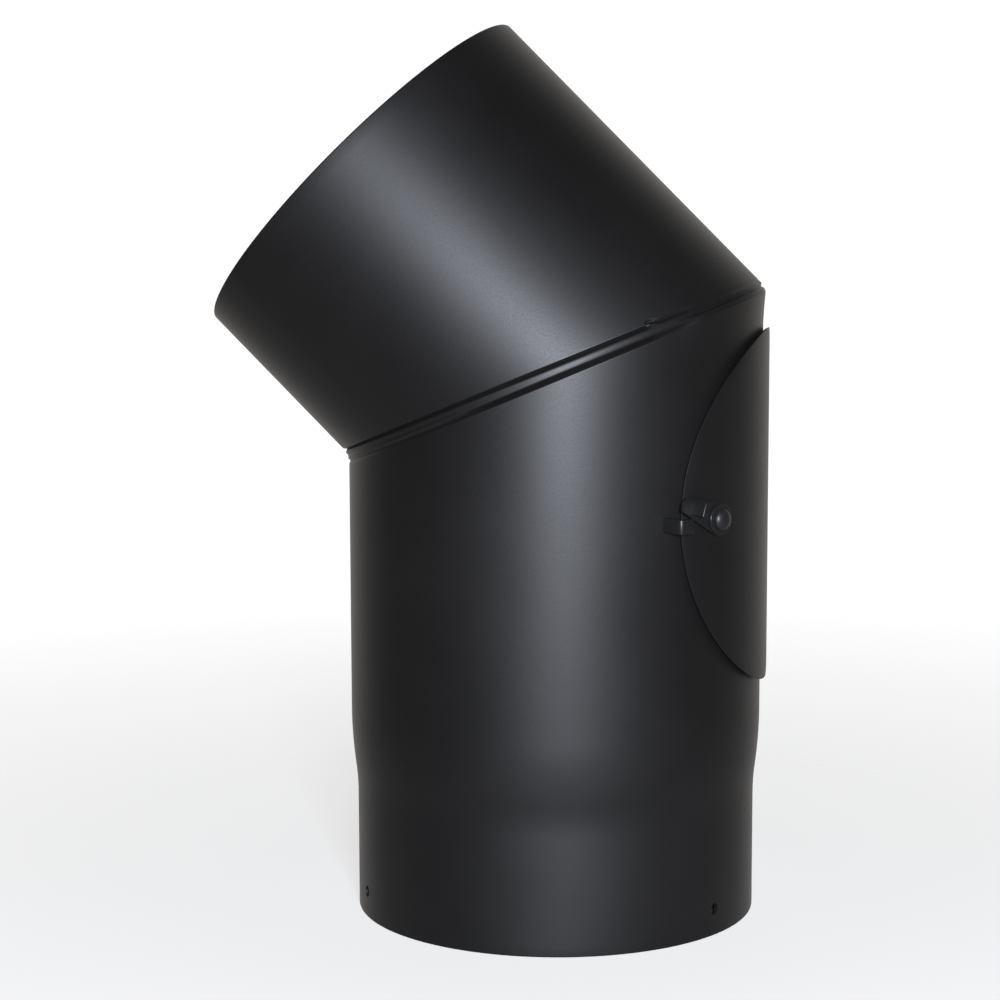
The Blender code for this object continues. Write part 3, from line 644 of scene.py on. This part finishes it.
def washer(name, size, base, finish, node, slot, edge):
    """A flat washer on the latch's pivot; size is its outer radius and thickness."""
    outer, thickness = size
    hole, top = PIVOT_HOLE, base + thickness
    profile = curve_through([(hole, base, 0.08), (outer, base, 0.08), (outer, top, edge),
                             (hole, top, edge)])
    verts, faces = ring_sweep(profile, 64, polar)
    verts = placed(verts, along_radius(PIVOT_AZIMUTH, DOOR_HEIGHT))
    new_piece(name, verts, faces, finish, "door", [node], slot)


# ------------------------------------------------------------------------------ the hinge

KNUCKLE = 3.0
PIN = 1.5
PIN_HEAD = 2.5
PIN_HOLE = PIN + 0.08
DOOR_KNUCKLE = 15.4
HINGE_LENGTH = 40.0
LEAF_SHEET = 1.2
PIPE_LEAF_DEGREES = 13          # how far the leaves reach round the pipe from the axis
STRAP_DEGREES = 22
PIPE_LEAF_START = 3.7           # axis to the near edge of each leaf
STRAP_START = 2.2
EAR_DEGREES = 1.4               # axis to the ears that carry the pipe leaf's knuckles
PIPE_RIVETS = (8, 13)           # degrees round from the axis, and up or down from the middle
DOOR_RIVETS = (16.6, 4.3)
PIN_ENDS = 1.0                  # pin's foot below the knuckles, and thickness of its head
HINGE_AZIMUTH = math.degrees(DOOR_RADIUS / DOOR_FACE + math.asin((KNUCKLE + 1.1) / DOOR_FACE))
HINGE_CENTRE = PIPE + KNUCKLE + 0.5
HINGE_AXIS = along_radius(HINGE_AZIMUTH, 0).to_3x3() @ Vector((0, 0, HINGE_CENTRE))


def join_knuckles(leaf, knuckles):
    """Joins rolled tubes about the hinge's axis to a leaf: each is (name, low, high)."""
    tubes = []
    for label, low, high in knuckles:
        profile = curve_through([(PIN_HOLE, low, 0.15), (KNUCKLE, low, 0.3), (KNUCKLE, high, 0.3),
                                 (PIN_HOLE, high, 0.15)])
        verts, faces = ring_sweep(profile, 48, polar)
        moved = [Vector(vert) + HINGE_AXIS for vert in verts]
        tubes.append(new_piece(f"{label}_barrel", moved, faces, FITTING_BLACK))
    cut(leaf, tubes, "UNION", SHARP_AT_JOINS)


def leaf_grid(inner, outer, start, end, low, high, corner):
    """A piece of sheet bent round the pipe's axis, with two rounded far corners."""
    columns = 26
    verts, faces = [], []
    reach = math.radians(abs(end - start)) * outer
    for column in range(columns + 1):
        share = column / columns
        azimuth = math.radians(start + (end - start) * share)
        left = reach * (1 - share)
        trim = corner - math.sqrt(max(0, corner ** 2 - (corner - left) ** 2)) if left < corner else 0
        for radius, height in ((inner, low + trim), (outer, low + trim), (outer, high - trim),
                               (inner, high - trim)):
            verts.append((radius * math.cos(azimuth), radius * math.sin(azimuth), height))
    for column in range(columns):
        here, there = column * 4, column * 4 + 4
        for index in range(4):
            after = (index + 1) % 4
            faces.append((here + index, there + index, there + after, here + after))
    faces += [(3, 2, 1, 0), tuple(columns * 4 + index for index in range(4))]
    return verts, faces


def make_door_leaf(base, middle, half):
    """The strap on the door, with the middle knuckle."""
    start = math.degrees(STRAP_START / HINGE_CENTRE)
    low, high = middle - half, middle + half
    sheet = leaf_grid(base, base + LEAF_SHEET, HINGE_AZIMUTH - start,
                      HINGE_AZIMUTH - STRAP_DEGREES, low, high, 5.0)
    leaf = new_piece("hinge_door_leaf_skin", *sheet, FITTING_BLACK, "door",
                     ["hinge_door_leaf"], "stove_black")
    bevel(leaf, 0.18, 2)
    join_knuckles(leaf, [("door", low, high)])


def make_pipe_leaf(base, middle, half, door_half):
    """The leaf on the pipe, with the two outer knuckles on ears of their own."""
    start = HINGE_AZIMUTH + math.degrees(PIPE_LEAF_START / PIPE)
    sheet = leaf_grid(base, base + LEAF_SHEET, start, HINGE_AZIMUTH + PIPE_LEAF_DEGREES,
                      middle - half, middle + half, 4.0)
    leaf = new_piece("hinge_pipe_leaf_skin", *sheet, FITTING_BLACK, "elbow",
                     ["hinge_pipe_leaf"], "stove_black")
    knuckles = (("upper", middle + door_half + GAP, middle + half),
                ("lower", middle - half, middle - door_half - GAP))
    ears = []
    for label, low, high in knuckles:
        ear = leaf_grid(base, base + LEAF_SHEET, HINGE_AZIMUTH + EAR_DEGREES, start + 0.6, low,
                        high, 0.01)
        ears.append(new_piece(f"{label}_ear", *ear, FITTING_BLACK))
    cut(leaf, ears, "UNION", SHARP_AT_JOINS)
    bevel(leaf, 0.18, 2)
    join_knuckles(leaf, knuckles)


def make_hinge():
    """Leaves, pin and rivets on the hidden edge of the door."""
    half, door_half = HINGE_LENGTH / 2, DOOR_KNUCKLE / 2
    middle = DOOR_HEIGHT
    strap_base, base = DOOR_FACE + GAP, PIPE + GAP
    make_door_leaf(strap_base, middle, door_half)
    make_pipe_leaf(base, middle, half, door_half)

    under_head = middle + half + GAP
    low, high = middle - half - GAP - PIN_ENDS, under_head + PIN_ENDS
    profile = [(0, low), *curve_through([(PIN, low, 0.4), (PIN, under_head, 0),
                                         (PIN_HEAD, under_head, 0.1), (PIN_HEAD, high, 0.6)],
                                        False), (PIN_HEAD - 0.6, high), (0, high)]
    verts, faces = solid_sweep(profile, 40, polar)
    new_piece("hinge_pin_skin", [Vector(vert) + HINGE_AXIS for vert in verts], faces, STEEL,
              "elbow", ["hinge_pin"], "dark_steel")

    seat = LEAF_SHEET + 0.15
    (pipe_round, pipe_up), (door_round, door_up) = PIPE_RIVETS, DOOR_RIVETS
    for label, sign in (("upper", 1), ("lower", -1)):
        rivet(f"hinge_rivet_pipe_{label}_skin", HINGE_AZIMUTH + pipe_round,
              middle + sign * pipe_up, BORE - GAP, base + seat, HINGE_RIVET, RIVET_BLACK, "elbow",
              f"hinge_rivet_pipe_{label}", "stove_black")
        rivet(f"hinge_rivet_door_{label}_skin", HINGE_AZIMUTH - door_round,
              middle + sign * door_up, PIPE - 0.2, strap_base + seat, HINGE_RIVET, RIVET_BLACK,
              "door", f"hinge_rivet_door_{label}", "stove_black")


# ------------------------------------------------------------------------------ the latch

SPRING_WASHER = (4.5, 0.5)      # radius, thickness
WASHER = (5.5, 0.6)
LEVER_BASE = DOOR_FACE + GAP + SPRING_WASHER[1] + GAP
LEVER_THICKNESS = 1.0
LEVER_LENGTH = PIVOT_INSET + 3.9
LEVER_HUB = 6.0
LEVER_TIP = 2.5                 # half the width of its tip
TAB_WIDTH = 4.5
TAB_HEIGHT = 6.5                # from the lever's underside
LEVER_SHOULDER = 6.0            # pivot to where the lever's straight sides start
KEEPER_WIDTH = 5.0
KEEPER_DROP = 0.8
KEEPER_LIP = 6.2
KEEPER_SHEET = 1.2
KEEPER_FOOT = 4.8
KEEPER_CLEARANCE = 0.4          # lever's face to the lip over it
KEEPER_RIVET_PLACE = 0.58       # share of the foot's length, from the post
KEEPER_POST = LEVER_LENGTH + 0.6
LIP_END = KEEPER_POST + KEEPER_SHEET - KEEPER_LIP


def plate(outline, thickness, matrix):
    """A flat plate from its outline, its base on the plane z = 0 of the matrix."""
    count = len(outline)
    verts = [(x, y, 0) for x, y in outline] + [(x, y, thickness) for x, y in outline]
    faces = [tuple(range(count))[::-1], tuple(range(count, 2 * count))]
    faces += [(i, (i + 1) % count, count + (i + 1) % count, count + i) for i in range(count)]
    return placed(verts, matrix), faces


def make_lever():
    """The lever: a pear-shaped plate with a folded finger tab."""
    hub, half_tip = LEVER_HUB, LEVER_TIP
    spread = math.asin((hub - half_tip) / LEVER_LENGTH)
    lip_top = KEEPER_WIDTH / 2 - KEEPER_DROP + 0.2
    clear = math.atan2(lip_top, LIP_END) + math.asin(hub / math.hypot(lip_top, LIP_END))
    rest = math.degrees(clear - spread)
    turns = [math.pi / 2 - spread - step * (math.pi - 2 * spread) / 28 for step in range(29)]
    outline = [(hub * math.cos(a), hub * math.sin(a)) for a in turns]
    outline += curve_through([(-LEVER_SHOULDER, -half_tip - 0.8, 0),
                              (-LEVER_LENGTH, -half_tip, 1.4), (-LEVER_LENGTH, half_tip, 1.4),
                              (-LEVER_SHOULDER, half_tip + 0.8, 0)], False)[1:-1]
    place = along_radius(PIVOT_AZIMUTH, DOOR_HEIGHT, -rest)
    base = place @ Matrix.Translation((0, 0, LEVER_BASE))
    verts, faces = plate(outline, LEVER_THICKNESS, base)
    lever = new_piece("latch_lever_skin", verts, faces, FITTING_BLACK, "latch", ["latch_lever"],
                      "stove_black")
    side = curve_through([(-1.0, 0.3, 0), (1.6, 0.3, 0), (0.1, 1.7, 1.2), (0.0, TAB_HEIGHT, 0.5),
                          (-1.0, TAB_HEIGHT, 0.5)], True)
    fold = (place @ Matrix.Translation((1.4 - LIP_END, TAB_WIDTH / 2, LEVER_BASE))
            @ Matrix.Rotation(math.pi / 2, 4, "X"))
    tab_verts, tab_faces = plate(side, TAB_WIDTH, fold)
    tab = new_piece("finger_tab", tab_verts, tab_faces, FITTING_BLACK)
    cut(lever, [tab], "UNION")
    cut(lever, [plug("lever_hole", PIVOT_HOLE, LEVER_BASE - 2, LEVER_BASE + 3, place, 48)])
    bevel(lever, 0.2, 3)


def make_keeper():
    """A folded hook riveted to the pipe beside the door's edge."""
    sheet, width, lip, foot = KEEPER_SHEET, KEEPER_WIDTH, KEEPER_LIP, KEEPER_FOOT
    height = DOOR_HEIGHT - KEEPER_DROP
    near = -KEEPER_POST
    far = near - sheet
    lip_base = LEVER_BASE + LEVER_THICKNESS + KEEPER_CLEARANCE
    foot_base, foot_top = PIPE + GAP, PIPE + GAP + sheet
    foot_angle = math.asin(-near / foot_top) - foot / 4 / PIPE
    sine, cosine = math.sin(foot_angle), math.cos(foot_angle)

    def on_foot(across, radius):
        """A point on a face of the flat foot, which is tangent to the pipe's curve."""
        along = (across + radius * sine) / cosine
        return across, radius * cosine + along * sine

    foot_near = far + foot
    outline = curve_through([(*on_foot(foot_near, foot_base), 0), (*on_foot(far, foot_base), 1.3),
                             (far, lip_base + sheet, 1.5), (far + lip, lip_base + sheet, 0.3),
                             (far + lip, lip_base, 0.3), (near, lip_base, 0.5),
                             (*on_foot(near, foot_top), 0.5), (*on_foot(foot_near, foot_top), 0)])
    place = (along_radius(PIVOT_AZIMUTH, height) @ Matrix.Rotation(math.pi / 2, 4, "X")
             @ Matrix.Translation((0, 0, -width / 2)))
    verts, faces = plate(outline, width, place)
    keeper = new_piece("latch_keeper_skin", verts, faces, FITTING_BLACK, "elbow",
                       ["latch_keeper"], "stove_black")
    bevel(keeper, 0.15, 2)
    across = near + (foot_near - near) * KEEPER_RIVET_PLACE
    azimuth = PIVOT_AZIMUTH + math.degrees(math.atan2(*on_foot(across, foot_top)))
    rivet("keeper_rivet_skin", azimuth, height, BORE - GAP, foot_top + 0.1, KEEPER_RIVET,
          STEEL, "elbow", "keeper_rivet", "dark_steel")


def make_latch():
    """Lever, pivot rivet, washers and keeper."""
    washer("latch_spring_washer_skin", SPRING_WASHER, DOOR_FACE + GAP, STEEL,
           "latch_spring_washer", "dark_steel", 0.15)
    top = LEVER_BASE + LEVER_THICKNESS + GAP
    washer("latch_washer_skin", WASHER, top, RIVET_BLACK, "latch_washer", "stove_black", 0.3)
    rivet("latch_pivot_rivet_skin", PIVOT_AZIMUTH, DOOR_HEIGHT, PIPE - 0.2,
          top + WASHER[1] + 0.15, PIVOT_RIVET, DOME_BLACK, "door", "latch_pivot_rivet",
          "stove_black")
    make_lever()
    make_keeper()


# --------------------------------------------------------------------- camera and studio

CAMERA_PLACE = (0.1517, -0.9060, 0.2702)
CAMERA_LENS = 89.4              # on a sensor 36 mm wide
CAMERA_TURN = 0.1883            # radians: round +Z, down from level, and roll
CAMERA_DIP = 0.1274
CAMERA_ROLL = -0.0031

SOFTBOX_PLACE = (0.25, -0.98, 0.325)
SOFTBOX_AIM = (0, 0, 0.20)
SOFTBOX_SIZE = 0.16
SOFTBOX_POWER = 16.3
SOFTBOX_COLOUR = (0.84, 0.89, 1.0)

# the room's brightness along two directions: (cosine from the direction, level) each
ROOM_LEVELS = ((BEHIND, ((-1, 0.01), (0, 0.02), (0.55, 0.17), (1, 1.2))),
               ((0, 0, 1), ((-1, 0.10), (-0.1, 0.02), (1, -0.10))))
ROOM_DIMMEST = 0.01
ROOM_COLOUR = (1.0, 0.955, 0.90)
WHITE_STRENGTH = 1.05           # the background that the camera sees

FLOOR_FADE = (0.12, 0.75)       # metres from the axis where the floor starts and ends fading
FLOOR_SHARE = 0.34              # how opaque it is where it is nearest
UNDER_PIPE = (0.0738, 0.0739)   # it is opaque inside this


def make_camera():
    """The camera, level with the mitre's height and a little to the door's side."""
    camera = bpy.data.objects.new("camera", bpy.data.cameras.new("camera"))
    bpy.context.scene.collection.objects.link(camera)
    camera.data.sensor_width = 36.0
    camera.data.lens = CAMERA_LENS
    turn = Matrix.Rotation(CAMERA_TURN, 4, "Z")
    tip = Matrix.Rotation(math.pi / 2 - CAMERA_DIP, 4, "X")
    roll = Matrix.Rotation(CAMERA_ROLL, 4, "Z")
    camera.matrix_world = Matrix.Translation(CAMERA_PLACE) @ turn @ tip @ roll
    bpy.context.scene.camera = camera


def make_softbox():
    """A soft square light aimed at the pipe."""
    data = bpy.data.lights.new("softbox", "AREA")
    data.shape = "RECTANGLE"
    data.size = data.size_y = SOFTBOX_SIZE
    data.energy = SOFTBOX_POWER
    data.color = SOFTBOX_COLOUR
    light = bpy.data.objects.new("softbox", data)
    bpy.context.scene.collection.objects.link(light)
    light.location = SOFTBOX_PLACE
    aim = Vector(SOFTBOX_AIM) - Vector(SOFTBOX_PLACE)
    light.rotation_euler = aim.to_track_quat("-Z", "Y").to_euler()


def make_world():
    """White to the camera; otherwise a dim room, bright behind the object and below it."""
    world = bpy.data.worlds.new("studio")
    bpy.context.scene.world = world
    world.use_nodes = True
    nodes, links = world.node_tree.nodes, world.node_tree.links
    nodes.clear()
    output = nodes.new("ShaderNodeOutputWorld")
    mix = nodes.new("ShaderNodeMixShader")
    room = nodes.new("ShaderNodeBackground")
    white = nodes.new("ShaderNodeBackground")
    path = nodes.new("ShaderNodeLightPath")
    place = nodes.new("ShaderNodeTexCoord")
    levels = []
    for axis, table in ROOM_LEVELS:
        dot = nodes.new("ShaderNodeVectorMath")
        dot.operation = "DOT_PRODUCT"
        dot.inputs[1].default_value = axis
        links.new(place.outputs["Generated"], dot.inputs[0])
        total = None
        for (low, low_level), (high, high_level) in zip(table, table[1:]):
            below = 0 if total is None else low_level       # later stretches add to the first
            rise = nodes.new("ShaderNodeMapRange")
            for name, number in (("From Min", low), ("From Max", high),
                                 ("To Min", low_level - below), ("To Max", high_level - below)):
                rise.inputs[name].default_value = number
            links.new(dot.outputs["Value"], rise.inputs["Value"])
            if total is None:
                total = rise.outputs["Result"]
            else:
                add = nodes.new("ShaderNodeMath")
                links.new(total, add.inputs[0])
                links.new(rise.outputs["Result"], add.inputs[1])
                total = add.outputs[0]
        levels.append(total)
    both = nodes.new("ShaderNodeMath")
    least = nodes.new("ShaderNodeMath")
    least.operation = "MAXIMUM"
    least.inputs[1].default_value = ROOM_DIMMEST
    links.new(levels[0], both.inputs[0])
    links.new(levels[1], both.inputs[1])
    links.new(both.outputs[0], least.inputs[0])
    links.new(least.outputs[0], room.inputs["Strength"])
    room.inputs["Color"].default_value = (*ROOM_COLOUR, 1)
    white.inputs["Color"].default_value = (1, 1, 1, 1)
    white.inputs["Strength"].default_value = WHITE_STRENGTH
    links.new(path.outputs["Is Camera Ray"], mix.inputs["Fac"])
    links.new(room.outputs["Background"], mix.inputs[1])
    links.new(white.outputs["Background"], mix.inputs[2])
    links.new(mix.outputs["Shader"], output.inputs["Surface"])


def make_floor():
    """A plain pale floor: opaque under the pipe, and faint round it until it ends in white."""
    bpy.ops.mesh.primitive_plane_add(size=4.0, location=(0, 0, 0))
    floor = bpy.context.object
    floor.name = "floor"
    shader = Shader("floor_paper", 0.9)
    shader.surface.inputs["Base Color"].default_value = (0.92, 0.92, 0.92, 1)
    grain = shader.noise(300, 3, 0.5)
    shader.bump((grain, 0.00005, 0.1))
    clear = shader.add("ShaderNodeBsdfTransparent")
    mix = shader.add("ShaderNodeMixShader")
    away = shader.add("ShaderNodeVectorMath", operation="LENGTH")
    shader.join(shader.place, away.inputs[0])
    faded = shader.span(away.outputs["Value"], *FLOOR_FADE, FLOOR_SHARE, 0.0)
    covered = shader.span(away.outputs["Value"], *UNDER_PIPE, 1.0, 0.0)
    shader.join(shader.maths("MAXIMUM", faded, covered), mix.inputs["Fac"])
    shader.join(clear.outputs["BSDF"], mix.inputs[1])
    shader.join(shader.surface.outputs["BSDF"], mix.inputs[2])
    shader.join(mix.outputs["Shader"], shader.output.inputs["Surface"])
    floor.data.materials.append(shader.material)


def make_studio():
    """A soft source above and beside the camera, in a plain white room."""
    make_softbox()
    make_world()
    make_floor()
    bpy.context.scene.view_settings.view_transform = "Standard"


make_camera()
make_lower_leg()
make_upper_leg()
make_door()
make_hinge()
make_latch()
make_studio()
